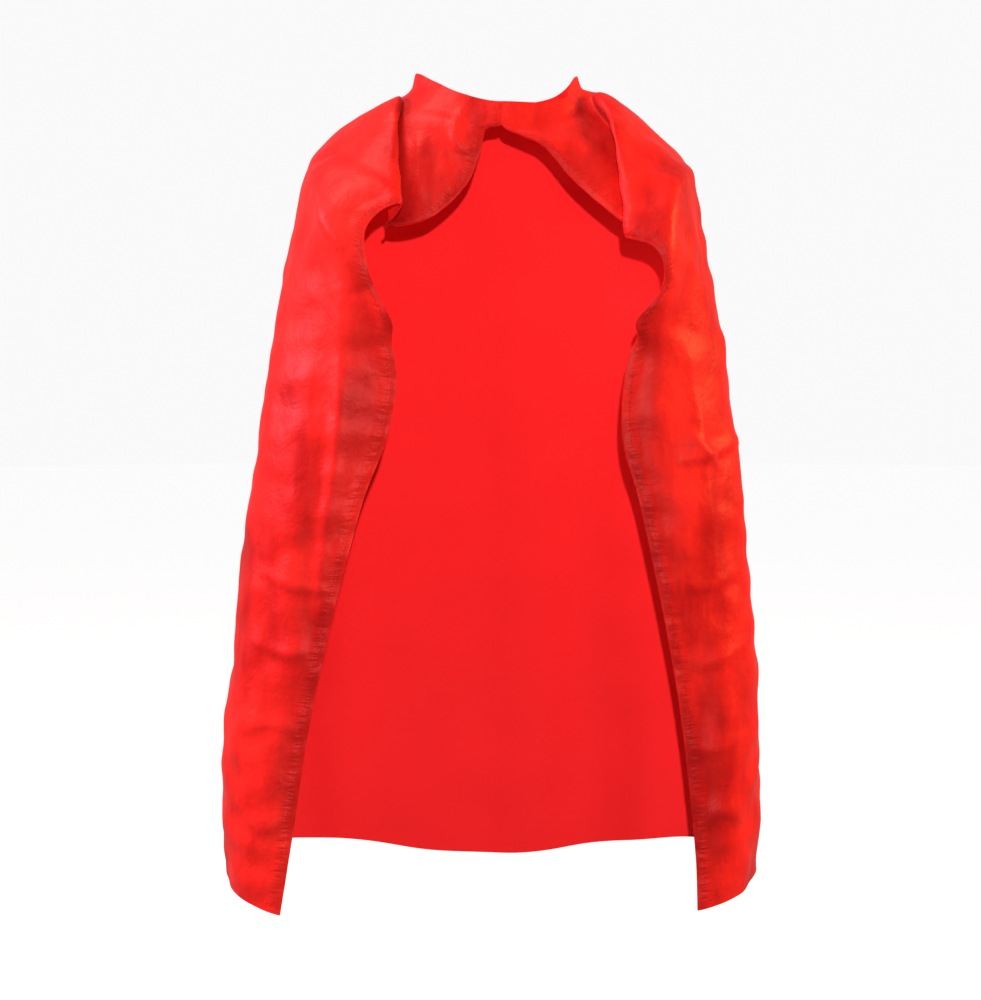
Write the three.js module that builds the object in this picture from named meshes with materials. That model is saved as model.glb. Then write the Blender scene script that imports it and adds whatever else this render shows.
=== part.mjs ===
// A child's costume cape, hanging as it does on its wearer. A satin shell with a matt lining is cut as one
// back panel and two fronts, joined by a seam that runs from the collar over each shoulder to the hem. The
// fronts close at the throat, where a flap with a hook patch laps over a tab with a loop patch.
//
// Millimetres, +Z up, +Y towards the wearer's back. The origin is the middle of the neck opening, level
// with its edge at the throat. Right and left are the wearer's, so the right front is on the -X side.
// A place on one side is written [outward from the middle, forward of the origin, down from the origin].

import * as THREE from "three";

// ---------------------------------------------------------------- cloth and clearances
const shellThickness = 1.0; // satin with its turned edge
const liningThickness = 0.8;
const facingThickness = 0.6;
const labelThickness = 0.5;
const tabThickness = 1.6; // the tab is satin folded double
const patchThickness = 1.0; // one half of the hook-and-loop closure
const threadThickness = 0.4;
const threadWidth = 0.9;
const gap = 0.3; // between pieces that touch
const layerGap = 0.6; // between shell and lining, which meet only along their seams
const flapEase = 1.6; // the flap lies loosely over its patch
const foldGap = 0.8; // along a line that a panel swings or peels about
const backGap = 0.75; // the back panel turns in at the side seam, so it stops this far short of it

// ---------------------------------------------------------------- neck and closure
const neckFront = 62;
const neckBack = 60;
const neckDrop = 2; // the neck edge at the throat, below the origin
const backNeckRise = 8; // the neck edge at the back, above the origin
const bandHeight = 19; // neck edge to front edge at the throat
const bandLean = 8; // the band leans forward by this much over its height
const bandEnd = 7; // the right front ends this far beside the middle
const tabHeight = 16;
const patchWidth = 20;
const patchHeight = 12;
const patchSetback = 2; // the patches stop this far short of the tab's end
const flapEnd = 10; // the flap of the left front ends this far beside the middle
const flapFold = 38; // and peels about a line at this distance
const flapFoot = [flapFold, neckFront + 20, 47]; // where that line meets the front edge
const flapArch = 1.5; // the flap's front edge rises by this much into the throat
const tabReach = flapFold + bandEnd - 1; // from the right front's end to just short of the flap's line

// ---------------------------------------------------------------- skirt, below the shoulders
const foldDrop = 145; // the fronts swing below this height
const seamBack = 15; // the straight part of the side seam lies behind the origin
const skirtLength = 515; // from there to the hem, along the side seam
const edgeForwardAtFold = 117;
const edgeForwardAtTip = 105;
const backAtFold = 101;
const backAtHem = 135;
const backSag = 18; // the middle of the back lies lower than the side seam where the fronts swing
const hemSag = 15; // and at the hem

// ---------------------------------------------------------------- facing, label and stitching
const facingHeight = 13;
const labelWidth = 30;
const labelHeight = 14;
const stitchInset = 7; // topstitching, in from the front edges and the hem
const stitchStart = 4; // the hem's stitching starts this far from a side seam
const labelInset = 3;
const lapelStitchStart = 0.34; // share of the way down a shoulder part

// ---------------------------------------------------------------- the two sides, which hang a little unlike
const rightSide = {
  out: -1,
  collarTip: [65, 0, -28],
  tipShape: 1.8, // how late the neck edge climbs to the collar tip
  shoulder: [[15, 0, 19], [45, -1, 33], [84, -6, 63]], // from the collar tip
  lapel: [[21, 84, 57], [59, 96, 93], [99, 110, 118]],
  seamHalf: 175, // half width at the side seam, where the fronts swing
  hemHalf: 230,
  edgeDrop: 152, // the front edge, where it starts to swing
  tipDrop: 680,
  edgeHalf: [108, 86, 91, 111, 130, 146, 161, 169, 176], // at even steps down to the tip
};
const leftSide = {
  out: 1,
  collarTip: [73, 0, -26],
  tipShape: 4.8,
  shoulder: [[14, 0, 18], [36, -1, 30], [80, -6, 60]],
  lapel: [[60, 88, 68], [92, 95, 101], [126, 110, 126]],
  seamHalf: 184,
  hemHalf: 229,
  edgeDrop: 148,
  tipDrop: 676,
  edgeHalf: [137, 112, 103, 115, 134, 146, 156, 163, 171],
};

// ---------------------------------------------------------------- layers, outward from the middle of the cloth
const shellLow = layerGap / 2;
const shellHigh = shellLow + shellThickness;
const liningHigh = -layerGap / 2;
const liningLow = liningHigh - liningThickness;
const facingHigh = liningLow - gap;
const facingLow = facingHigh - facingThickness;
const labelHigh = facingLow - gap;
const labelLow = labelHigh - labelThickness;
const threadLow = shellHigh + gap;
const threadHigh = threadLow + threadThickness;
// The closed throat, from the tab outwards. The tab lies in the middle of the right front's cloth.
const tabHigh = tabThickness / 2;
const loopHigh = tabHigh + gap + patchThickness;
const hookHigh = loopHigh + gap + patchThickness;
const flapForward = hookHigh + flapEase - liningLow; // the flap's cloth, forward of the tab's

// ---------------------------------------------------------------- materials, each mesh with its own
const satin = (color) => new THREE.MeshStandardMaterial({ color, roughness: 0.4, metalness: 0 });
const plain = (color) => new THREE.MeshStandardMaterial({ color, roughness: 0.9, metalness: 0 });
const satinRed = "#dd1a1e";
const liningRed = "#ef1f25";
const facingRed = "#c9161b";
const threadRed = "#a80f16";
const patchRed = "#b3121a";
const labelWhite = "#efece6";

const cape = new THREE.Group();
cape.name = "cape";

function add(name, geometry, material) {
  const mesh = new THREE.Mesh(geometry, material);
  mesh.name = name;
  cape.add(mesh);
}

// ---------------------------------------------------------------- outlines
const place = (side, [outward, forward, down]) => new THREE.Vector3(side.out * outward, -forward, -down);

const smooth = (points) => new THREE.CatmullRomCurve3(points, false, "centripetal");

// Two curves one after the other, the first over the given share of the way.
const chain = (first, second, share) => (t) =>
  t < share ? first.getPoint(t / share) : second.getPoint((t - share) / (1 - share));

const seamTop = (side) => place(side, [side.seamHalf, -seamBack, foldDrop]);
const seamFoot = (side) => place(side, [side.hemHalf, -seamBack, foldDrop + skirtLength]);
const foldEdge = (side) => place(side, [side.edgeHalf[0], edgeForwardAtFold, side.edgeDrop]);

// The seam over the shoulder, from the collar tip to where the fronts start to swing.
function shoulderSeam(side) {
  const tip = place(side, side.collarTip);
  const points = side.shoulder.map((step) => place(side, step).add(tip));
  return smooth([tip, ...points, seamTop(side)]);
}

const sideSeam = (side) => new THREE.LineCurve3(seamTop(side), seamFoot(side));

// The edge of a front from below the fold line to its pointed tip.
function skirtEdge(side) {
  const last = side.edgeHalf.length - 1;
  const points = side.edgeHalf.map((outward, i) => {
    const t = i / last;
    const forward = THREE.MathUtils.lerp(edgeForwardAtFold, edgeForwardAtTip, t);
    return place(side, [outward, forward, THREE.MathUtils.lerp(side.edgeDrop, side.tipDrop, t)]);
  });
  return smooth(points);
}

// The neck edge is half of an ellipse on each side, which climbs from the throat to the collar tip.
function neckPoint(side, outward, forward) {
  const [tipOut, , tipDown] = side.collarTip;
  const cosine = outward / tipOut;
  const climb = (neckDrop - tipDown) * cosine ** side.tipShape;
  return place(side, [outward, forward * Math.sqrt(1 - cosine ** 2), neckDrop - climb]);
}

const bandFoot = (side, outward, forward) => place(side, [outward, forward + bandLean, neckDrop + bandHeight]);
const rightBandTop = neckPoint(rightSide, bandEnd, neckFront);
const rightBandFoot = bandFoot(rightSide, bandEnd, neckFront);
const flapHingeTop = neckPoint(leftSide, flapFold, neckFront + flapForward);
const flapHingeFoot = place(leftSide, flapFoot);

const rightLapel = smooth([
  rightBandFoot,
  ...rightSide.lapel.map((point) => place(rightSide, point)),
  foldEdge(rightSide),
]);
const leftLapel = smooth([
  flapHingeFoot,
  ...leftSide.lapel.map((point) => place(leftSide, point)),
  foldEdge(leftSide),
]);
// The straight line at the throat takes this share of each upper edge.
const rightThroatShare = 0.15;
const leftThroatShare = 0.3;
rightSide.upperEdge = chain(new THREE.LineCurve3(rightBandTop, rightBandFoot), rightLapel, rightThroatShare);
leftSide.upperEdge = chain(new THREE.LineCurve3(flapHingeTop, flapHingeFoot), leftLapel, leftThroatShare);
// How far round the neck ellipse each front runs from its collar tip.
rightSide.neckTurn = Math.acos(bandEnd / rightSide.collarTip[0]);
leftSide.neckTurn = Math.acos(flapFold / leftSide.collarTip[0]);

// ---------------------------------------------------------------- surfaces: (u, v) to a point, v down the cape
// Part of an ellipse, seen from above, from a point on the side seam round to a point on the front edge or
// in the middle of the back. Shape above 1 keeps the height of the far end for longer.
function around(from, to, turn, shape, u) {
  const angle = turn * u;
  const across = (Math.cos(angle) - Math.cos(turn)) / (1 - Math.cos(turn));
  const forward = Math.sin(angle) / Math.sin(turn);
  return new THREE.Vector3(
    THREE.MathUtils.lerp(to.x, from.x, across),
    THREE.MathUtils.lerp(from.y, to.y, forward),
    THREE.MathUtils.lerp(to.z, from.z, across ** shape),
  );
}

function upperFront(side) {
  const seam = shoulderSeam(side);
  return (u, v) => {
    const ease = THREE.MathUtils.smoothstep(v, 0, 0.5);
    const turn = THREE.MathUtils.lerp(side.neckTurn, Math.PI / 2, ease);
    const shape = THREE.MathUtils.lerp(side.tipShape, 1, THREE.MathUtils.smoothstep(v, 0, 1));
    return around(seam.getPoint(v), side.upperEdge(v), turn, shape, u);
  };
}

function lowerFront(side) {
  const seam = sideSeam(side);
  const edge = skirtEdge(side);
  return (u, v) => around(seam.getPoint(v), edge.getPoint(v), Math.PI / 2, 1, u);
}

const backRail = smooth([
  new THREE.Vector3(0, neckBack, backNeckRise),
  new THREE.Vector3(0, neckBack + 14, -30),
  new THREE.Vector3(0, backAtFold, -foldDrop - backSag),
  new THREE.Vector3(0, (backAtFold + backAtHem) / 2, -foldDrop - backSag - skirtLength / 2),
  new THREE.Vector3(0, backAtHem, -foldDrop - skirtLength - hemSag),
]);
const shoulderShare = 0.3; // of the back panel's way down, where the fronts start to swing
const sideFullness = 30; // the back panel runs out beside the seam before it turns across the back

// The whole back panel, from the right side seam round to the left.
function backPanel() {
  const halves = [rightSide, leftSide].map((side) => {
    const seam = chain(shoulderSeam(side), sideSeam(side), shoulderShare);
    return (u, v) => {
      const turn = Math.PI / 2;
      const shape = THREE.MathUtils.lerp(2, 1, THREE.MathUtils.smoothstep(v, 0, shoulderShare));
      const point = around(seam(v), backRail.getPoint(v), turn, shape, u);
      const fullness = sideFullness * THREE.MathUtils.smoothstep(v, shoulderShare / 2, 1);
      point.x += side.out * fullness * Math.sin(2 * turn * u);
      return point;
    };
  });
  return (u, v) => (u < 0.5 ? halves[0](2 * u, v) : halves[1](2 - 2 * u, v));
}

// The flap of the left front, from the line it peels about to its end.
function flapSurface(u, v) {
  const outward = THREE.MathUtils.lerp(flapFold, flapEnd, u);
  const top = neckPoint(leftSide, outward, neckFront + flapForward);
  const foot = flapHingeFoot.clone().lerp(bandFoot(leftSide, flapEnd, neckFront + flapForward), u);
  foot.z += 4 * flapArch * u * (1 - u);
  return top.lerp(foot, v);
}

// The tab, which carries on from the end of the right front, behind the flap.
function tabSurface(u, v) {
  const start = bandEnd - gap;
  const outward = start - tabReach * u;
  const forward = neckFront * Math.sqrt(1 - (outward / leftSide.collarTip[0]) ** 2);
  const drop = neckDrop + (bandHeight - tabHeight) / 2 + tabHeight * v;
  return place(rightSide, [outward, forward + (bandLean * (drop - neckDrop)) / bandHeight, drop]);
}

// ---------------------------------------------------------------- cloth: closed solids laid over a surface
const small = 1e-3;
const held = (value) => THREE.MathUtils.clamp(value, 0, 1);

// How a point moves for a step in u or v, held within the surface.
function alongU(surface, u, v) {
  const [low, high] = [held(u - small), held(u + small)];
  return surface(high, v).sub(surface(low, v)).divideScalar(high - low);
}
function alongV(surface, u, v) {
  const [low, high] = [held(v - small), held(v + small)];
  return surface(u, high).sub(surface(u, low)).divideScalar(high - low);
}

// The u of a line at a set distance in from an edge, u = 0 or u = 1, and the same for v.
const inFromU = (surface, edge, distance) => (v) => {
  const inward = edge === 0 ? 1 : -1;
  return edge + (inward * distance) / alongU(surface, edge, v).length();
};
const inFromV = (surface, edge, distance) => (u) => {
  const inward = edge === 0 ? 1 : -1;
  return edge + (inward * distance) / alongV(surface, u, edge).length();
};
const fixed = (value) => () => value;

// A closed solid between two heights above the surface, measured outward from the cape, and inside four
// lines: left and right give u at each v, top and bottom give v at each u.
function cloth(surface, lines, low, high, across, down) {
  const { left = fixed(0), right = fixed(1), top = fixed(0), bottom = fixed(1) } = lines;
  const at = (s, t) => {
    const v = THREE.MathUtils.lerp(top(s), bottom(s), t);
    const u = THREE.MathUtils.lerp(left(v), right(v), s);
    return [u, v];
  };
  const normalAt = (u, v) => {
    return alongU(surface, u, v).cross(alongV(surface, u, v)).normalize();
  };
  const [midU, midV] = at(0.5, 0.5);
  const middle = surface(midU, midV);
  const outside = Math.sign(normalAt(midU, midV).dot(new THREE.Vector3(middle.x, middle.y, 0))) || 1;
  const heights = [low * outside, high * outside].sort((a, b) => a - b);
  const geometry = new THREE.BoxGeometry(1, 1, 1, across, down, 1);
  const corner = geometry.attributes.position;
  for (let i = 0; i < corner.count; i++) {
    const [u, v] = at(corner.getX(i) + 0.5, corner.getY(i) + 0.5);
    const height = THREE.MathUtils.lerp(...heights, corner.getZ(i) + 0.5);
    const point = surface(u, v).addScaledVector(normalAt(u, v), height);
    corner.setXYZ(i, point.x, point.y, point.z);
  }
  geometry.computeVertexNormals();
  return geometry;
}

// ---------------------------------------------------------------- back panel
const back = backPanel();
const backLines = {
  left: inFromU(back, 0, backGap),
  right: inFromU(back, 1, backGap),
};
add("back_shell", cloth(back, backLines, shellLow, shellHigh, 28, 24), satin(satinRed));
add("back_lining", cloth(back, backLines, liningLow, liningHigh, 28, 24), plain(liningRed));

// ---------------------------------------------------------------- fronts, above and below the fold line
for (const [name, side] of [["right", rightSide], ["left", leftSide]]) {
  const upper = upperFront(side);
  const lower = lowerFront(side);
  const upperLines = {
    left: inFromU(upper, 0, foldGap / 2),
    right: side === leftSide ? inFromU(upper, 1, foldGap / 2) : fixed(1),
    bottom: inFromV(upper, 1, foldGap / 2),
  };
  const lowerLines = {
    left: inFromU(lower, 0, foldGap / 2),
    top: inFromV(lower, 0, foldGap / 2),
  };
  add(`${name}_shoulder_shell`, cloth(upper, upperLines, shellLow, shellHigh, 16, 18), satin(satinRed));
  add(`${name}_shoulder_lining`, cloth(upper, upperLines, liningLow, liningHigh, 16, 18), plain(liningRed));
  add(`${name}_front_shell`, cloth(lower, lowerLines, shellLow, shellHigh, 12, 22), satin(satinRed));
  add(`${name}_front_lining`, cloth(lower, lowerLines, liningLow, liningHigh, 12, 22), plain(liningRed));

  // One line of topstitching beside the front edge, above and below the fold line, and one along the hem.
  const beside = (surface) => ({
    left: inFromU(surface, 1, stitchInset + threadWidth / 2),
    right: inFromU(surface, 1, stitchInset - threadWidth / 2),
  });
  const upperStitch = { ...beside(upper), top: fixed(lapelStitchStart), bottom: inFromV(upper, 1, foldGap) };
  const lowerStitch = {
    ...beside(lower),
    top: inFromV(lower, 0, foldGap),
    bottom: inFromV(lower, 1, stitchInset + threadWidth),
  };
  add(`${name}_lapel_stitch`, cloth(upper, upperStitch, threadLow, threadHigh, 1, 16), plain(threadRed));
  add(`${name}_edge_stitch`, cloth(lower, lowerStitch, threadLow, threadHigh, 1, 26), plain(threadRed));
  const hemStitch = {
    left: inFromU(lower, 0, stitchStart),
    right: inFromU(lower, 1, stitchInset + threadWidth / 2),
    top: inFromV(lower, 1, stitchInset + threadWidth / 2),
    bottom: inFromV(lower, 1, stitchInset - threadWidth / 2),
  };
  add(`${name}_hem_stitch`, cloth(lower, hemStitch, threadLow, threadHigh, 16, 1), plain(threadRed));

  // The facing behind the neck edge.
  const facing = {
    left: inFromU(upper, 0, foldGap / 2),
    right: inFromU(upper, 1, foldGap),
    bottom: inFromV(upper, 0, facingHeight),
  };
  add(`${name}_neck_facing`, cloth(upper, facing, facingLow, facingHigh, 14, 1), satin(facingRed));
}
const backHem = {
  left: inFromU(back, 0, stitchStart),
  right: inFromU(back, 1, stitchStart),
  top: inFromV(back, 1, stitchInset + threadWidth / 2),
  bottom: inFromV(back, 1, stitchInset - threadWidth / 2),
};
add("back_hem_stitch", cloth(back, backHem, threadLow, threadHigh, 44, 1), plain(threadRed));

const backFacing = { ...backLines, bottom: inFromV(back, 0, facingHeight) };
add("back_neck_facing", cloth(back, backFacing, facingLow, facingHigh, 28, 1), satin(facingRed));

// The blank care label hangs from the middle of the back facing.
const halfLabel = labelWidth / 2;
const label = {
  left: (v) => 0.5 - halfLabel / alongU(back, 0.5, v).length(),
  right: (v) => 0.5 + halfLabel / alongU(back, 0.5, v).length(),
  top: inFromV(back, 0, labelInset),
  bottom: inFromV(back, 0, labelInset + labelHeight),
};
add("care_label", cloth(back, label, labelLow, labelHigh, 4, 2), plain(labelWhite));

// ---------------------------------------------------------------- closure at the throat
const flapLines = { left: inFromU(flapSurface, 0, foldGap / 2) };
add("flap_shell", cloth(flapSurface, flapLines, shellLow, shellHigh, 6, 4), satin(satinRed));
add("flap_lining", cloth(flapSurface, flapLines, liningLow, liningHigh, 6, 4), plain(liningRed));
add("closure_tab", cloth(tabSurface, {}, -tabThickness / 2, tabHigh, 10, 3), satin(satinRed));

// Both patches lie on the tab's surface, under the flap.
const tabMargin = (tabHeight - patchHeight) / 2 / tabHeight;
const patchStart = 1 - (patchWidth + patchSetback) / tabReach;
const patch = {
  left: fixed(patchStart),
  right: fixed(patchStart + patchWidth / tabReach),
  top: fixed(tabMargin),
  bottom: fixed(1 - tabMargin),
};
add("loop_patch", cloth(tabSurface, patch, tabHigh + gap, loopHigh, 6, 2), plain(patchRed));
add("hook_patch", cloth(tabSurface, patch, loopHigh + gap, hookHigh, 6, 2), plain(patchRed));

export default cape;
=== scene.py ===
import math

import bmesh
import bpy
import numpy as np
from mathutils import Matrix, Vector, noise


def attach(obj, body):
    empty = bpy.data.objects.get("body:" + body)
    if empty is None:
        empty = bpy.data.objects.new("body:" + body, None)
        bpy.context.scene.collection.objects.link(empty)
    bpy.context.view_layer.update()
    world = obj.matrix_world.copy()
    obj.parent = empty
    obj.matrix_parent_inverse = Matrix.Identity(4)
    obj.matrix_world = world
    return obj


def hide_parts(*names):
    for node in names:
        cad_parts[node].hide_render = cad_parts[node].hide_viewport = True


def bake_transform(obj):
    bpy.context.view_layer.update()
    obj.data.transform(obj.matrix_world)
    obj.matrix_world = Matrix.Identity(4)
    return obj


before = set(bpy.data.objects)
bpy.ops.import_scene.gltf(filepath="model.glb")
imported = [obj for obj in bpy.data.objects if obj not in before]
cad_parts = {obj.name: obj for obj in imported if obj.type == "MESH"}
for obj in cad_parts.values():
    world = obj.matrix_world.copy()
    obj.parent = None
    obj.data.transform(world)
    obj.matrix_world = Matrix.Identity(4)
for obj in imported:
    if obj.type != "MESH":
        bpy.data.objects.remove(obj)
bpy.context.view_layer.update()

# ---------------------------------------------------------------- the view
# The cape is looked at from straight in front, a little below its collar, with a long lens.
camera_data = bpy.data.cameras.new("camera")
camera_data.lens = 83.7
camera = bpy.data.objects.new("camera", camera_data)
camera.location = (0, -2.0, -0.179)
camera.rotation_euler = (math.radians(90 - 4.47), 0, 0)
bpy.context.collection.objects.link(camera)
bpy.context.scene.camera = camera

# ---------------------------------------------------------------- the back panel
# One wide piece of satin with a matt lining, cut to run from the back of the neck over the tops of the
# shoulders down to the hem. It hangs from the shoulders in soft upright flutes that open towards the hem.
# Places are [outward from the middle, back, up] in metres, as the cape hangs on its wearer.
right = {
    "out": -1,
    "seam": [
        (0.0625, 0.000, 0.028), (0.067, 0.000, 0.014), (0.078, 0.001, 0.006), (0.090, 0.001, 0.000),
        (0.104, 0.001, -0.007), (0.118, 0.001, -0.014), (0.131, 0.002, -0.022), (0.142, 0.004, -0.032),
        (0.150, 0.006, -0.041), (0.156, 0.009, -0.053), (0.161, 0.011, -0.068), (0.166, 0.013, -0.090),
        (0.171, 0.015, -0.118), (0.1768, 0.015, -0.160), (0.181, 0.015, -0.200), (0.188, 0.015, -0.265),
        (0.195, 0.015, -0.330), (0.2055, 0.015, -0.430), (0.214, 0.015, -0.510), (0.2245, 0.015, -0.610),
        (0.2295, 0.015, -0.656),
    ],
    "edge": [
        (-0.012, -0.062, -0.001), (-0.011, -0.071, -0.019), (0.003, -0.075, -0.024), (0.0065, -0.079, -0.038),
        (0.015, -0.084, -0.065), (0.030, -0.089, -0.0865), (0.045, -0.094, -0.099), (0.062, -0.100, -0.102),
        (0.083, -0.104, -0.093), (0.100, -0.107, -0.096), (0.110, -0.110, -0.109), (0.110, -0.112, -0.130),
        (0.1035, -0.114, -0.158), (0.083, -0.114, -0.193), (0.0765, -0.114, -0.232), (0.086, -0.112, -0.281),
        (0.105, -0.110, -0.331), (0.132, -0.107, -0.435), (0.1505, -0.104, -0.520), (0.1655, -0.102, -0.617),
        (0.175, -0.100, -0.674),
    ],
    "climb": 1.8,
    "fold": [(0.030, 0.070), (0.011, 0.074), (-0.020, 0.084), (-0.060, 0.084), (-0.090, 0.079)],
    "ridge": [(0.145, -0.050), (0.129, -0.097), (0.115, -0.124), (0.105, -0.156)],
    "folds": [
        (0.0040, 0.004, [(0.0235, -0.006), (0.030, -0.023), (0.0255, -0.040), (0.014, -0.040)]),
        (0.0030, 0.005, [(0.041, -0.040), (0.036, -0.080)]),
        (0.0030, 0.006, [(0.059, -0.026), (0.057, -0.088)]),
        (0.0065, 0.014, [(0.118, -0.150), (0.122, -0.260), (0.135, -0.360), (0.140, -0.430)]),
        (0.0028, 0.008, [(0.196, -0.388), (0.160, -0.399), (0.131, -0.401)]),
        (0.0022, 0.008, [(0.204, -0.446), (0.170, -0.455), (0.150, -0.452)]),
        (0.0026, 0.010, [(0.214, -0.524), (0.180, -0.513), (0.155, -0.522)]),
        (0.0022, 0.010, [(0.214, -0.580), (0.190, -0.600), (0.165, -0.592)]),
    ],
    "fullness": [
        (-0.66, 0.000), (-0.61, 0.014), (-0.53, 0.019), (-0.43, 0.021), (-0.345, 0.0245), (-0.28, 0.021),
        (-0.20, 0.012), (-0.12, 0.0),
    ],
}
left = {
    "out": 1,
    "seam": [
        (0.073, 0.000, 0.026), (0.0765, 0.000, 0.0155), (0.084, 0.001, 0.0125), (0.096, 0.001, 0.009),
        (0.110, 0.001, 0.001), (0.124, 0.001, -0.009), (0.138, 0.002, -0.021), (0.150, 0.004, -0.031),
        (0.160, 0.006, -0.040), (0.168, 0.008, -0.051), (0.173, 0.010, -0.064), (0.178, 0.013, -0.088),
        (0.182, 0.015, -0.118), (0.1853, 0.015, -0.160), (0.189, 0.015, -0.200), (0.1945, 0.015, -0.265),
        (0.200, 0.015, -0.330), (0.209, 0.015, -0.430), (0.216, 0.015, -0.510), (0.2245, 0.015, -0.610),
        (0.2285, 0.015, -0.656),
    ],
    "edge": [
        (0.010, -0.0655, -0.001), (0.010, -0.075, -0.021), (0.024, -0.080, -0.028), (0.038, -0.084, -0.036),
        (0.049, -0.087, -0.0475), (0.063, -0.091, -0.067), (0.080, -0.095, -0.086), (0.094, -0.099, -0.0997),
        (0.110, -0.103, -0.109), (0.128, -0.106, -0.117), (0.1425, -0.109, -0.123), (0.149, -0.111, -0.138),
        (0.146, -0.112, -0.158), (0.118, -0.113, -0.193), (0.108, -0.113, -0.234), (0.108, -0.112, -0.280),
        (0.122, -0.110, -0.331), (0.1445, -0.107, -0.435), (0.159, -0.104, -0.520), (0.170, -0.102, -0.617),
        (0.1725, -0.100, -0.671),
    ],
    "climb": 5.0,
    "fold": [(0.030, 0.078), (0.009, 0.085), (-0.026, 0.1065), (-0.080, 0.115), (-0.100, 0.1185)],
    "ridge": [(0.165, -0.054), (0.146, -0.078), (0.139, -0.110), (0.140, -0.155)],
    "folds": [
        (0.0040, 0.012, [(0.155, -0.170), (0.172, -0.280), (0.188, -0.400)]),
        (0.0046, 0.006, [(0.204, -0.281), (0.178, -0.292), (0.152, -0.296)]),
        (0.0038, 0.005, [(0.160, -0.272), (0.176, -0.290), (0.190, -0.306)]),
        (0.0022, 0.008, [(0.208, -0.388), (0.180, -0.400), (0.160, -0.398)]),
        (0.0028, 0.009, [(0.216, -0.446), (0.188, -0.461), (0.160, -0.467)]),
        (0.0024, 0.010, [(0.216, -0.524), (0.185, -0.535), (0.165, -0.532)]),
        (0.0020, 0.010, [(0.216, -0.600), (0.195, -0.588), (0.178, -0.596)]),
    ],
    "fullness": [
        (-0.66, 0.001), (-0.61, 0.015), (-0.53, 0.020), (-0.43, 0.021), (-0.345, 0.022), (-0.24, 0.017),
        (-0.19, 0.016), (-0.14, 0.008), (-0.10, 0.0),
    ],
}
back_middle = [
    (0, 0.060, 0.008), (0, 0.066, -0.008), (0, 0.073, -0.026), (0, 0.080, -0.050),
    (0, 0.087, -0.076), (0, 0.092, -0.100), (0, 0.096, -0.124), (0, 0.099, -0.148),
    (0, 0.101, -0.175), (0, 0.105, -0.225), (0, 0.111, -0.290), (0, 0.116, -0.350),
    (0, 0.122, -0.445), (0, 0.127, -0.525), (0, 0.133, -0.625), (0, 0.135, -0.675),
]


def smoothly(points, t):
    """Points on a smooth curve through the given ones, for places t from 0 to 1 along them."""
    points = np.array(points, float)
    padded = np.vstack([2 * points[0] - points[1], points, 2 * points[-1] - points[-2]])
    place = np.clip(np.asarray(t, float), 0, 1) * (len(points) - 1)
    step = np.minimum(place.astype(int), len(points) - 2)
    f = (place - step)[..., None]
    a, b, c, d = (padded[step + k] for k in range(4))
    return 0.5 * (2 * b + (c - a) * f + (2 * a - 5 * b + 4 * c - d) * f**2 + (3 * b - 3 * c + d - a) * f**3)


def even_places(points, count):
    """Places along a curve, the same length of cloth apart."""
    t = np.linspace(0, 1, 800)
    steps = np.linalg.norm(np.diff(smoothly(points, t), axis=0), axis=1)
    length = np.concatenate([[0], np.cumsum(steps)])
    return np.interp(np.linspace(0, length[-1], count), length, t)


def placed(side, points):
    return np.array(points, float) * (side["out"], 1, 1)


def ease(value, low, high):
    t = np.clip((value - low) / (high - low), 0, 1)
    return t * t * (3 - 2 * t)


def hang(seam, middle, fullness, out, u, turn, shape):
    """Cloth from the side seam round to a front edge or to the middle of the back, along part of an oval."""
    angle = turn * u
    across = (np.cos(angle) - np.cos(turn)) / (1 - np.cos(turn))
    point = np.empty(np.broadcast(u, turn).shape + (3,))
    point[..., 0] = middle[..., 0] + (seam[..., 0] - middle[..., 0]) * across
    point[..., 0] += out * fullness * np.sin(2 * angle)
    point[..., 1] = seam[..., 1] + (middle[..., 1] - seam[..., 1]) * np.sin(angle) / np.sin(turn)
    point[..., 2] = middle[..., 2] + (seam[..., 2] - middle[..., 2]) * across**shape
    return point


def cloth_noise(points, size, seed):
    """Gentle unevenness, about one bump to each size, which may differ along X, Y and Z."""
    flat = points.reshape(-1, 3) / np.array(size) + seed
    return np.array([noise.noise(Vector(p)) for p in flat]).reshape(points.shape[:-1])


def outward_of(points):
    """The cloth's own direction outward at each point of a grid."""
    across = np.gradient(points, axis=1)
    down = np.gradient(points, axis=0)
    direction = np.cross(across, down)
    direction /= np.linalg.norm(direction, axis=-1, keepdims=True) + 1e-12
    rows, columns = points.shape[:2]
    middle = (rows // 2, columns // 2)
    radial = points[middle] * (1, 1, 0)
    return direction * np.sign(np.dot(direction[middle], radial))


def at_height(pairs, z):
    """A value that changes with height, from pairs of a height and the value there."""
    heights, values = zip(*sorted(pairs))
    return np.interp(z, heights, values)


fold_width = 0.0075
fold_lap = 0.020
fold_lift = 0.020
fold_sink = 0.018


def shoulder_fold(side, points):
    """The deep fold beside the collar, where the shoulder's cloth laps over the cloth of the throat."""
    x, y, z = (points[..., k] for k in range(3))
    s = side["out"] * x - at_height(side["fold"], z)
    strength = (0.35 + 0.65 * ease(-y, 0.0, 0.06)) * ease(-y, -0.05, 0.01)
    strength = strength * (1 - ease(-z, 0.16, 0.21)) * (1 - ease(z, -0.004, 0.016))
    outer = 0.5 * (1 + np.tanh(s / fold_width))
    lap = fold_lap * strength * np.tanh(s / fold_width) * np.exp(-((s / 0.042) ** 2))
    lift = fold_lift * strength * outer * np.exp(-((np.maximum(s, 0) / 0.045) ** 2))
    sink = fold_sink * strength * (1 - outer) * np.exp(-((np.minimum(s + 0.006, 0) / 0.020) ** 2))
    slope = np.arctan2(z + 0.13, -y)
    moved = points.copy()
    moved[..., 0] -= side["out"] * lap
    moved[..., 1] -= (lift - sink) * np.cos(slope)
    moved[..., 2] += (lift - sink) * np.sin(slope)
    return moved


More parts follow.
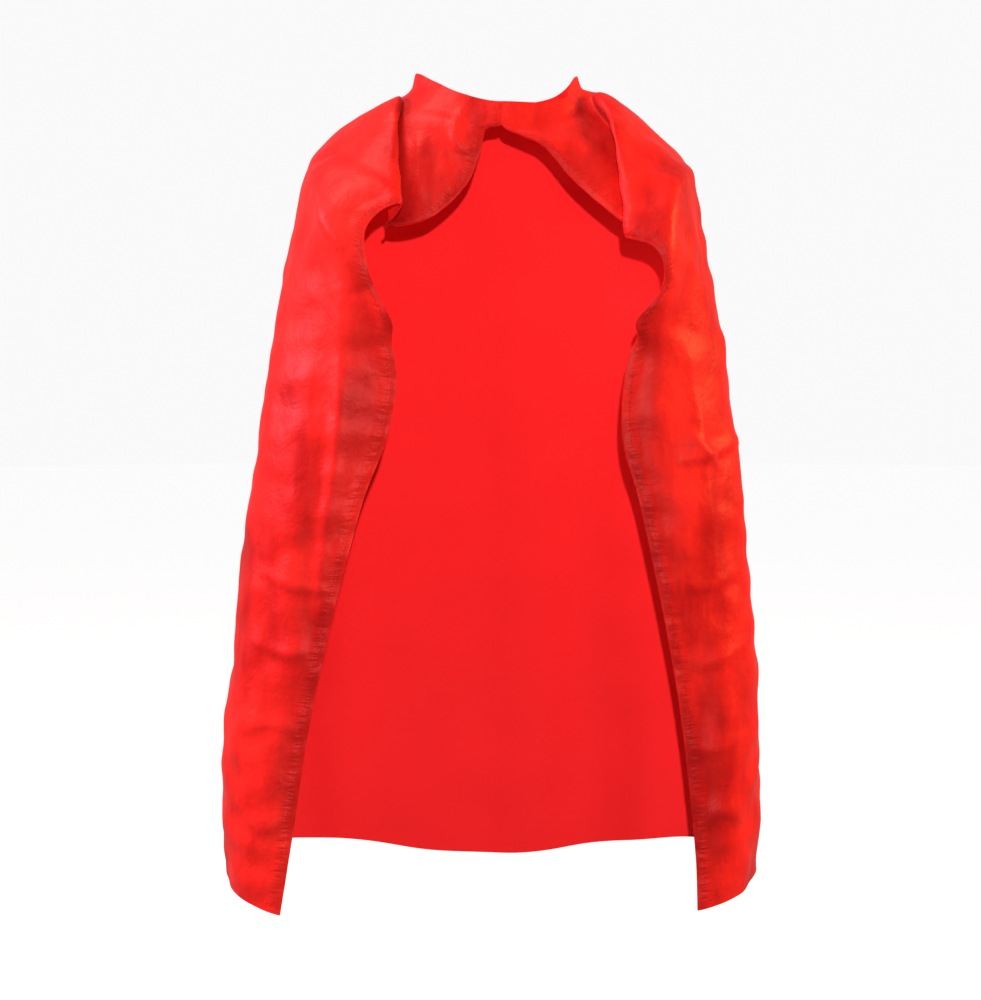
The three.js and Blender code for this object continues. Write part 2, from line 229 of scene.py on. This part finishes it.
def lay_cloth(name, points, offset, thickness, material):
    """A sheet of cloth over a grid of points, its outer face at an offset outward from them."""
    rows, columns = points.shape[:2]
    direction = outward_of(points)
    placed_points = points + direction * offset
    bm = bmesh.new()
    bmesh.ops.create_grid(bm, x_segments=columns - 1, y_segments=rows - 1, size=0.5)
    uv_layer = bm.loops.layers.uv.new("cloth")
    across_way = np.linalg.norm(np.diff(points, axis=1), axis=-1)
    from_first = np.concatenate([np.zeros((rows, 1)), np.cumsum(across_way, axis=1)], axis=1)
    from_edge = np.minimum(from_first, from_first[:, -1:] - from_first)
    down_way = np.linalg.norm(np.diff(points[:, -1], axis=0), axis=-1)
    down = np.concatenate([[0], np.cumsum(down_way)])
    bm.verts.index_update()
    cells = {}
    for vertex in bm.verts:
        column = round((vertex.co.x + 0.5) * (columns - 1))
        row = round((0.5 - vertex.co.y) * (rows - 1))
        cells[vertex.index] = (row, column)
        vertex.co = placed_points[row, column]
    for face in bm.faces:
        for loop in face.loops:
            row, column = cells[loop.vert.index]
            loop[uv_layer].uv = (from_edge[row, column], down[row])
        face.smooth = True
    bm.normal_update()
    bm.faces.ensure_lookup_table()
    middle = bm.faces[len(bm.faces) // 2]
    row, column = cells[middle.verts[0].index]
    if middle.normal.dot(Vector(direction[row, column])) < 0:
        bmesh.ops.reverse_faces(bm, faces=bm.faces[:])
    for edge in bm.edges:
        edge.smooth = not edge.is_boundary
    mesh = bpy.data.meshes.new(name)
    bm.to_mesh(mesh)
    bm.free()
    mesh.materials.append(material)
    sheet = bpy.data.objects.new(name, mesh)
    bpy.context.collection.objects.link(sheet)
    solid = sheet.modifiers.new("thickness", "SOLIDIFY")
    solid.thickness = thickness
    solid.offset = -1
    return sheet


def satin_material(name, deep, light, roughness=0.47):
    """Polyester satin: close parallel floats that shine. Its red runs between a shaded and a lit tone in long
    soft upright patches, painted shade and light of folds, and a bump gives the creases where the cloth has
    relaxed.
    """
    material = bpy.data.materials.new(name)
    material.use_nodes = True
    nodes = material.node_tree.nodes
    links = material.node_tree.links
    shader = nodes["Principled BSDF"]
    place = nodes.new("ShaderNodeTexCoord")
    # Painted shade and light of folds: soft noise, stretched upright, sets where the red is the shaded tone
    # and where it is the lit one.
    painted_fold_shade = nodes.new("ShaderNodeTexNoise")
    painted_fold_shade.inputs["Scale"].default_value = 16
    painted_fold_shade.inputs["Detail"].default_value = 6
    painted_fold_shade.inputs["Roughness"].default_value = 0.6
    lengthwise = nodes.new("ShaderNodeMapping")
    lengthwise.inputs["Scale"].default_value = (1.3, 1.0, 0.45)
    links.new(place.outputs["Object"], lengthwise.inputs["Vector"])
    links.new(lengthwise.outputs["Vector"], painted_fold_shade.inputs["Vector"])
    colour = nodes.new("ShaderNodeValToRGB")
    colour.color_ramp.elements[0].position = 0.34
    colour.color_ramp.elements[0].color = (*deep, 1)
    colour.color_ramp.elements[1].position = 0.66
    colour.color_ramp.elements[1].color = (*light, 1)
    links.new(painted_fold_shade.outputs["Fac"], colour.inputs["Fac"])
    links.new(colour.outputs["Color"], shader.inputs["Base Color"])
    shader.inputs["Roughness"].default_value = roughness
    shader.inputs["Specular IOR Level"].default_value = 0.20
    shader.inputs["Specular Tint"].default_value = (1.0, 0.40, 0.38, 1)
    shader.inputs["Sheen Weight"].default_value = 0.05
    shader.inputs["Sheen Roughness"].default_value = 0.35
    shader.inputs["Sheen Tint"].default_value = (1.0, 0.42, 0.42, 1)
    rumple = nodes.new("ShaderNodeTexNoise")
    rumple.inputs["Scale"].default_value = 42
    rumple.inputs["Detail"].default_value = 3
    rumple.inputs["Roughness"].default_value = 0.62
    rumple.inputs["Distortion"].default_value = 0.2
    links.new(place.outputs["Object"], rumple.inputs["Vector"])
    relaxed = nodes.new("ShaderNodeBump")
    relaxed.inputs["Strength"].default_value = 0.35
    relaxed.inputs["Distance"].default_value = 0.0045
    links.new(rumple.outputs["Fac"], relaxed.inputs["Height"])
    edge = nodes.new("ShaderNodeUVMap")
    edge.uv_map = "cloth"
    parts = nodes.new("ShaderNodeSeparateXYZ")
    links.new(edge.outputs["UV"], parts.inputs["Vector"])
    stretch = nodes.new("ShaderNodeMapping")
    stretch.inputs["Scale"].default_value = (45, 230, 1)
    links.new(edge.outputs["UV"], stretch.inputs["Vector"])
    pull = nodes.new("ShaderNodeTexNoise")
    pull.inputs["Scale"].default_value = 1.0
    pull.inputs["Detail"].default_value = 2
    links.new(stretch.outputs["Vector"], pull.inputs["Vector"])
    rise = nodes.new("ShaderNodeMapRange")
    rise.interpolation_type = "SMOOTHSTEP"
    rise.inputs["From Min"].default_value = 0.0005
    rise.inputs["From Max"].default_value = 0.0060
    links.new(parts.outputs["X"], rise.inputs["Value"])
    fall = nodes.new("ShaderNodeMapRange")
    fall.interpolation_type = "SMOOTHSTEP"
    fall.inputs["From Min"].default_value = 0.0160
    fall.inputs["From Max"].default_value = 0.0075
    links.new(parts.outputs["X"], fall.inputs["Value"])
    band = nodes.new("ShaderNodeMath")
    band.operation = "MULTIPLY"
    links.new(rise.outputs["Result"], band.inputs[0])
    links.new(fall.outputs["Result"], band.inputs[1])
    pucker_height = nodes.new("ShaderNodeMath")
    pucker_height.operation = "MULTIPLY"
    links.new(band.outputs["Value"], pucker_height.inputs[0])
    links.new(pull.outputs["Fac"], pucker_height.inputs[1])
    puckered = nodes.new("ShaderNodeBump")
    puckered.inputs["Strength"].default_value = 1.0
    puckered.inputs["Distance"].default_value = 0.0016
    links.new(pucker_height.outputs["Value"], puckered.inputs["Height"])
    links.new(relaxed.outputs["Normal"], puckered.inputs["Normal"])
    grain = nodes.new("ShaderNodeTexNoise")
    grain.inputs["Scale"].default_value = 900
    links.new(place.outputs["Object"], grain.inputs["Vector"])
    woven = nodes.new("ShaderNodeBump")
    woven.inputs["Strength"].default_value = 0.25
    woven.inputs["Distance"].default_value = 0.0004
    links.new(grain.outputs["Fac"], woven.inputs["Height"])
    links.new(puckered.outputs["Normal"], woven.inputs["Normal"])
    links.new(woven.outputs["Normal"], shader.inputs["Normal"])
    return material


def lining_material(name, tint):
    """Plain matt polyester lining with a fine even weave."""
    material = bpy.data.materials.new(name)
    material.use_nodes = True
    nodes = material.node_tree.nodes
    links = material.node_tree.links
    shader = nodes["Principled BSDF"]
    shader.inputs["Roughness"].default_value = 0.9
    shader.inputs["Specular IOR Level"].default_value = 0.15
    place = nodes.new("ShaderNodeTexCoord")
    cloud = nodes.new("ShaderNodeTexNoise")
    cloud.inputs["Scale"].default_value = 7
    links.new(place.outputs["Object"], cloud.inputs["Vector"])
    colour = nodes.new("ShaderNodeValToRGB")
    colour.color_ramp.elements[0].color = (*[c * 0.96 for c in tint], 1)
    colour.color_ramp.elements[1].color = (*tint, 1)
    links.new(cloud.outputs["Fac"], colour.inputs["Fac"])
    links.new(colour.outputs["Color"], shader.inputs["Base Color"])
    weave = nodes.new("ShaderNodeTexNoise")
    weave.inputs["Scale"].default_value = 900
    links.new(place.outputs["Object"], weave.inputs["Vector"])
    relief = nodes.new("ShaderNodeBump")
    relief.inputs["Strength"].default_value = 0.15
    relief.inputs["Distance"].default_value = 0.0003
    links.new(weave.outputs["Fac"], relief.inputs["Height"])
    links.new(relief.outputs["Normal"], shader.inputs["Normal"])
    return material


# The satin's deep and light tones are the two ends of its painted shade and light of folds.
satin = satin_material("red_satin", deep=(0.36, 0.004, 0.004), light=(0.69, 0.015, 0.010))
lining = lining_material("red_lining", tint=(0.92, 0.0157, 0.0182))
shell_thickness = 0.0007
lining_thickness = 0.0005
layer_space = 0.0009

back_rows = 210
hem_rise = 0.013
flute_count = 6.5
flute_height = 0.0040
back_fullness = [(-0.66, 0.004), (-0.60, 0.014), (-0.53, 0.022), (-0.40, 0.016), (-0.25, 0.008), (-0.10, 0.0)]
places = even_places(back_middle, back_rows)
half_u = np.linspace(0, 1, 61)
halves = []
for side in (right, left):
    seam = placed(side, side["seam"])
    seam = smoothly(seam, even_places(seam, back_rows))[:, None]
    middle = smoothly(back_middle, places)[:, None]
    u = half_u[None, :]
    turn = np.full((back_rows, 1), math.pi / 2)
    shape = side["climb"] + (2 - side["climb"]) * ease(places, 0, 0.5)[:, None]
    fullness = at_height(back_fullness, seam[..., 2])
    half = hang(seam, middle, fullness, side["out"], u, turn, shape)
    half[..., 2] += hem_rise * np.sin(2 * turn * u) ** 2 * ease(places, 0.75, 1)[:, None]
    half = shoulder_fold(side, half)
    halves.append(half)
back_points = np.concatenate([halves[0], halves[1][:, -2::-1]], axis=1)
outward = outward_of(back_points)
girth = np.linspace(0, 1, back_points.shape[1])[None, :]
drop = places[:, None]
free = ease(drop, 0.3, 1.0) * ease(girth, 0, 0.07) * ease(1 - girth, 0, 0.07)
flutes = np.sin(girth * 2 * math.pi * flute_count + 0.8 + 0.5 * np.sin(drop * 3)) * flute_height
flutes = flutes + cloth_noise(back_points, (0.06, 0.06, 0.30), 3.1) * 0.006
back_points = back_points + outward * (flutes * free)[..., None]
creases = cloth_noise(back_points, (0.05, 0.05, 0.05), 9.7) * 0.0022
back_points = back_points + outward * (creases * ease(girth, 0, 0.05) * ease(1 - girth, 0, 0.05))[..., None]

back_shell = lay_cloth("back_satin", back_points, layer_space, shell_thickness, satin)
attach(back_shell, "yoke")
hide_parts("back_shell")


def seam_allowance(points, column, outward):
    """Two more lines of the lining, a few millimetres past the side seam, inside the front's own lining."""
    seam = points[:, [column]]
    below_shoulder = ease(-seam[..., 2], 0.07, 0.10)[..., None]
    turned = seam + (0, -0.0004, 0) - outward[:, [column]] * 0.0006
    ahead = seam - (0.0008 + 0.0042 * below_shoulder) * np.array([0, 1, 0])
    ahead = ahead - outward[:, [column]] * (0.0008 + 0.0012 * below_shoulder)
    return turned, ahead


outward = outward_of(back_points)
right_turned, right_ahead = seam_allowance(back_points, 0, outward)
left_turned, left_ahead = seam_allowance(back_points, -1, outward)
back_inside = np.concatenate([right_ahead, right_turned, back_points, left_turned, left_ahead], axis=1)
back_lining = lay_cloth("back_lining_cloth", back_inside, 0, lining_thickness, lining)
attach(back_lining, "yoke")
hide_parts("back_lining")

# ---------------------------------------------------------------- the fronts
# Each front is one piece of satin with its lining, from the shoulder seam round over the chest and arm to
# an edge that runs from the throat down to a pointed tip. A deep fold lies beside the collar, a ridge runs
# from the point of the shoulder to the turn of the edge, and topstitching puckers the edge.


def crease(side, points, line, height, width):
    """How much a long crease lifts the cloth, from its line as seen from the front."""
    x = side["out"] * points[..., 0]
    z = points[..., 2]
    path = np.array(line, float)
    path = smoothly(np.c_[path, np.zeros(len(path))], np.linspace(0, 1, 24))[:, :2]
    nearest = np.full(x.shape, 9.0)
    along = np.zeros(x.shape)
    below = np.zeros(x.shape, bool)
    for k, (a, b) in enumerate(zip(path[:-1], path[1:])):
        way = b - a
        t = np.clip(((x - a[0]) * way[0] + (z - a[1]) * way[1]) / way.dot(way), 0, 1)
        away = np.hypot(x - a[0] - t * way[0], z - a[1] - t * way[1])
        closer = away < nearest
        nearest = np.where(closer, away, nearest)
        along = np.where(closer, (k + t) / (len(path) - 1), along)
        below = np.where(closer, way[0] * (z - a[1]) - way[1] * (x - a[0]) > 0, below)
    fade = np.sin(np.clip(along, 0.001, 0.999) * math.pi) ** 0.6
    width = np.where(below, 0.5 * width, width)
    return height * np.exp(-((nearest / width) ** 1.5)) * fade


front_rows = 250
front_columns = 80
ridge_height = 0.013
ridge_width = 0.022


def front_points(side):
    edge = placed(side, side["edge"])
    places = even_places(edge, front_rows)
    seam = smoothly(placed(side, side["seam"]), places)[:, None]
    edge = smoothly(edge, places)[:, None]
    u = np.linspace(0, 1, front_columns)[None, :]
    v = places[:, None]
    neck_turn = math.acos(side["edge"][0][0] / side["seam"][0][0])
    turn = neck_turn + (math.pi / 2 - neck_turn) * ease(v, 0, 0.35)
    shape = side["climb"] + (1.15 - side["climb"]) * ease(v, 0, 0.3)
    fullness = at_height(side["fullness"], seam[..., 2])
    points = hang(seam, edge, fullness, side["out"], u, turn, shape)
    points = shoulder_fold(side, points)
    outward = outward_of(points)
    held = ease(u, 0, 0.08)
    lift = crease(side, points, side["ridge"], ridge_height, ridge_width)
    for height, width, line in side["folds"]:
        lift = lift + crease(side, points, line, height, width)
    low = ease(v, 0.4, 0.9)
    lift = lift + cloth_noise(points, (0.035, 0.06, 0.16), 1.3 * side["out"]) * 0.0050 * (0.4 + low)
    lift = lift + cloth_noise(points, (0.028, 0.028, 0.022), 5.1 * side["out"]) * 0.0022
    near_edge = ease(u, 0.86, 0.99)
    pucker = cloth_noise(points, (0.03, 0.03, 0.009), 2.2 * side["out"]) * 0.0010
    lift = lift + pucker * near_edge
    return points + outward * (lift * held)[..., None]


def cut_cloth(sheet, x, keep):
    """Cuts a sheet along an upright line beside the throat and keeps the cloth on one side of it."""
    bm = bmesh.new()
    bm.from_mesh(sheet.data)
    everything = bm.verts[:] + bm.edges[:] + bm.faces[:]
    bmesh.ops.bisect_plane(bm, geom=everything, plane_co=(x, 0, 0), plane_no=(keep, 0, 0), clear_inner=True)
    for edge in bm.edges:
        edge.smooth = not edge.is_boundary
    bm.to_mesh(sheet.data)
    bm.free()


flap_start = 0.046
fronts = {"right": front_points(right), "left": front_points(left)}
for hand, points in fronts.items():
    shell = lay_cloth(f"{hand}_front_satin", points, layer_space, shell_thickness, satin)
    inner = lay_cloth(f"{hand}_front_lining_cloth", points, 0, lining_thickness, lining)
    for piece, layer in ((shell, "shell"), (inner, "lining")):
        if hand == "left":
            cut_cloth(piece, flap_start, 1)
        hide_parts(f"{hand}_shoulder_{layer}", f"{hand}_front_{layer}")
        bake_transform(piece)

# ---------------------------------------------------------------- the closure
# The left front ends in a flap that laps over a short double tab behind the end of the right front. A
# woven patch of hooks under the flap presses onto a patch of loops on the tab.
flap_shell = lay_cloth("closure_flap_satin", fronts["left"], layer_space, shell_thickness, satin)
flap_lining = lay_cloth("closure_flap_lining", fronts["left"], 0, lining_thickness, lining)
for piece, layer in ((flap_shell, "shell"), (flap_lining, "lining")):
    cut_cloth(piece, flap_start, -1)
    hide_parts(f"flap_{layer}")
    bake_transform(piece)


def throat_points(low_x, high_x, top, bottom, depth, columns=24, rows=9):
    """A small piece at the throat, which follows the curve of the neck a little behind the flap."""
    x = np.linspace(low_x, high_x, columns)[None, :] + np.zeros((rows, 1))
    z = np.linspace(top, bottom, rows)[:, None] + 0.028 * (x / 0.073) ** 4.8
    points = np.empty((rows, columns, 3))
    points[..., 0] = x
    points[..., 1] = -(0.0655 - depth) * np.sqrt(1 - (x / 0.073) ** 2) + 0.48 * (z + 0.002)
    points[..., 2] = z
    return points


def fuzzy_material(name, tint):
    """Hook-and-loop tape: a stiff woven ground under a dense pile."""
    material = bpy.data.materials.new(name)
    material.use_nodes = True
    nodes = material.node_tree.nodes
    links = material.node_tree.links
    shader = nodes["Principled BSDF"]
    shader.inputs["Roughness"].default_value = 0.85
    place = nodes.new("ShaderNodeTexCoord")
    pile = nodes.new("ShaderNodeTexVoronoi")
    pile.inputs["Scale"].default_value = 1400
    links.new(place.outputs["Object"], pile.inputs["Vector"])
    colour = nodes.new("ShaderNodeValToRGB")
    colour.color_ramp.elements[0].color = (*tint, 1)
    colour.color_ramp.elements[1].color = (*[c * 0.5 for c in tint], 1)
    links.new(pile.outputs["Distance"], colour.inputs["Fac"])
    links.new(colour.outputs["Color"], shader.inputs["Base Color"])
    relief = nodes.new("ShaderNodeBump")
    relief.invert = True
    relief.inputs["Strength"].default_value = 0.8
    relief.inputs["Distance"].default_value = 0.0005
    links.new(pile.outputs["Distance"], relief.inputs["Height"])
    links.new(relief.outputs["Normal"], shader.inputs["Normal"])
    return material


tape = fuzzy_material("hook_and_loop_tape", (0.45, 0.01, 0.015))
tab_thickness = 0.0016
tab_points = throat_points(0.002, 0.037, -0.0040, -0.0185, depth=0.0042)
tab = lay_cloth("closure_tab_satin", tab_points, 0, tab_thickness, satin)
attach(tab, "yoke")
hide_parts("closure_tab")
tape_thickness = 0.0009
loop_points = throat_points(0.0135, 0.0335, -0.0055, -0.0170, depth=0.0031)
loops = lay_cloth("loop_patch_tape", loop_points, 0, tape_thickness, tape)
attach(loops, "yoke")
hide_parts("loop_patch")
hook_points = throat_points(0.0135, 0.0335, -0.0055, -0.0170, depth=0.0016)
hooks = lay_cloth("hook_patch_tape", hook_points, 0, tape_thickness, tape)
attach(hooks, "closure_flap")
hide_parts("hook_patch")

# ---------------------------------------------------------------- neck facing and care label
# A narrow strip of the satin is turned inside the neck edge and sewn down. The blank care label is caught
# under it at the middle of the back.
facing_rows = 6
facing_offset = -0.0009
facing_thickness = 0.0005
for name, points, node, length in (
    ("right_facing_satin", fronts["right"], "right_neck_facing", 0.105),
    ("left_facing_satin", fronts["left"], "left_neck_facing", 0.050),
    ("back_facing_satin", back_points, "back_neck_facing", 0.190),
):
    strip = lay_cloth(name, points[:facing_rows], facing_offset, facing_thickness, satin)
    if node == "left_neck_facing":
        cut_cloth(strip, flap_start, 1)
    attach(strip, "yoke")
    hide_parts(node)

label_cloth = lining_material("label_tape", tint=(0.86, 0.85, 0.82))
middle_column = back_points.shape[1] // 2
label_points = back_points[1:5, middle_column - 8:middle_column + 9]
label_offset = -0.0016
label_thickness = 0.0003
label = lay_cloth("blank_care_label", label_points, label_offset, label_thickness, label_cloth)
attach(label, "yoke")
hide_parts("care_label")

# ---------------------------------------------------------------- topstitching
# One line of machine stitches in matching thread holds the turned edge, seven millimetres in, down both
# front edges and along the hem. Each stitch dips into the satin at its ends.
# The thread shares the satin's painted shade and light of folds, between its own deep and light tones.
thread = satin_material("red_thread", deep=(0.30, 0.006, 0.006), light=(0.42, 0.012, 0.010), roughness=0.55)
stitch_length = 0.0030
stitch_pitch = 0.0040
thread_width = 0.00055
stitch_inset = 0.0070
lapel_stitch_top = -0.028


def length_along(line):
    """The length of a line of points from its first point to each."""
    way = np.linalg.norm(np.diff(line, axis=0), axis=1)
    return np.concatenate([[0], np.cumsum(way)])


def point_on(line, length, distance):
    return [np.interp(distance, length, line[:, k]) for k in range(3)]


def beside_edge(points, inset, from_last_column=True):
    """A line on a grid of cloth, in from its last column or its last row by a set distance."""
    grid = points if from_last_column else points.transpose(1, 0, 2)
    line = []
    for row in grid:
        line.append(point_on(row[::-1], length_along(row[::-1]), inset))
    return np.array(line)


def sew(name, lines):
    """Stitches along each line, each a small slim bead of thread laid along it."""
    bm = bmesh.new()
    for line in lines:
        length = length_along(line)
        for start in np.arange(stitch_pitch, length[-1] - stitch_pitch, stitch_pitch):
            a = Vector(point_on(line, length, start))
            b = Vector(point_on(line, length, start + stitch_length))
            bead = bmesh.ops.create_icosphere(bm, subdivisions=1, radius=0.5)["verts"]
            turn = (b - a).to_track_quat("X", "Z").to_matrix().to_4x4()
            bmesh.ops.scale(bm, verts=bead, vec=((b - a).length, thread_width, thread_width))
            bmesh.ops.transform(bm, verts=bead, matrix=turn)
            bmesh.ops.translate(bm, verts=bead, vec=(a + b) / 2)
    for face in bm.faces:
        face.smooth = True
    mesh = bpy.data.meshes.new(name)
    bm.to_mesh(mesh)
    bm.free()
    mesh.materials.append(thread)
    stitches = bpy.data.objects.new(name, mesh)
    bpy.context.collection.objects.link(stitches)
    return stitches


for hand, points in fronts.items():
    outer = points + outward_of(points) * layer_space
    edge_line = beside_edge(outer, stitch_inset)
    hem_line = beside_edge(outer, stitch_inset, from_last_column=False)
    edge_line = edge_line[edge_line[:, 2] < lapel_stitch_top]
    if hand == "left":
        edge_line = edge_line[edge_line[:, 0] > flap_start]
    stitches = sew(f"{hand}_topstitches", [edge_line[:-2], hem_line[2:-3]])
    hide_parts(f"{hand}_lapel_stitch", f"{hand}_edge_stitch", f"{hand}_hem_stitch")
    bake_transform(stitches)
outer = back_points + outward_of(back_points) * layer_space
hem_line = beside_edge(outer, stitch_inset, from_last_column=False)
back_stitches = sew("back_hem_stitches", [hem_line[2:-2]])
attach(back_stitches, "yoke")
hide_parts("back_hem_stitch")

# ---------------------------------------------------------------- studio
# A wide pale floor, a pale surround, one narrow light from beside the camera, a soft pink one from the
# wearer's right, a soft orange one from the left and a soft white one from above.
world = bpy.data.worlds.new("surround")
world.use_nodes = True
sky = world.node_tree.nodes["Background"]
seen = world.node_tree.nodes.new("ShaderNodeLightPath")
strength = world.node_tree.nodes.new("ShaderNodeMapRange")
strength.inputs["To Min"].default_value = 0.22
strength.inputs["To Max"].default_value = 0.95
world.node_tree.links.new(seen.outputs["Is Camera Ray"], strength.inputs["Value"])
world.node_tree.links.new(strength.outputs["Result"], sky.inputs["Strength"])
sky.inputs["Color"].default_value = (1, 1, 1, 1)
bpy.context.scene.world = world
bpy.context.scene.view_settings.view_transform = "Standard"

bm = bmesh.new()
bmesh.ops.create_circle(bm, cap_ends=True, segments=96, radius=9)
bmesh.ops.translate(bm, verts=bm.verts[:], vec=(0, 0, -0.86))
floor_mesh = bpy.data.meshes.new("floor")
bm.to_mesh(floor_mesh)
bm.free()
floor_paint = bpy.data.materials.new("floor_paint")
floor_paint.use_nodes = True
paint = floor_paint.node_tree.nodes["Principled BSDF"]
paint.inputs["Base Color"].default_value = (0.25, 0.25, 0.25, 1)
paint.inputs["Roughness"].default_value = 0.9
paint.inputs["Emission Color"].default_value = (1, 1, 1, 1)
paint.inputs["Emission Strength"].default_value = 0.91
paint.inputs["Specular IOR Level"].default_value = 0
floor_mesh.materials.append(floor_paint)
floor = bpy.data.objects.new("floor", floor_mesh)
bpy.context.collection.objects.link(floor)
floor.visible_diffuse = False
floor.visible_glossy = False

key_data = bpy.data.lights.new("key", "POINT")
key_data.energy = 127
key_data.shadow_soft_size = 0.012
key = bpy.data.objects.new("key", key_data)
key.location = (0.036, -2.0, -0.022)
bpy.context.collection.objects.link(key)

for name, place, size, power, tint in (
    ("left_soft", (-1.80, -0.08, 0.45), 0.7, 50, (1.0, 0.48, 0.62)),
    ("right_soft", (1.80, -0.10, 0.40), 0.7, 54, (1.0, 0.50, 0.18)),
    ("top_soft", (-0.8, -0.30, 1.4), 0.8, 30, (1.0, 0.80, 0.76)),
):
    soft_data = bpy.data.lights.new(name, "AREA")
    soft_data.shape = "DISK"
    soft_data.size = size
    soft_data.energy = power
    soft_data.color = tint
    soft = bpy.data.objects.new(name, soft_data)
    soft.location = place
    soft.rotation_euler = (Vector((0, 0, -0.3)) - Vector(place)).to_track_quat("-Z", "Y").to_euler()
    bpy.context.collection.objects.link(soft)
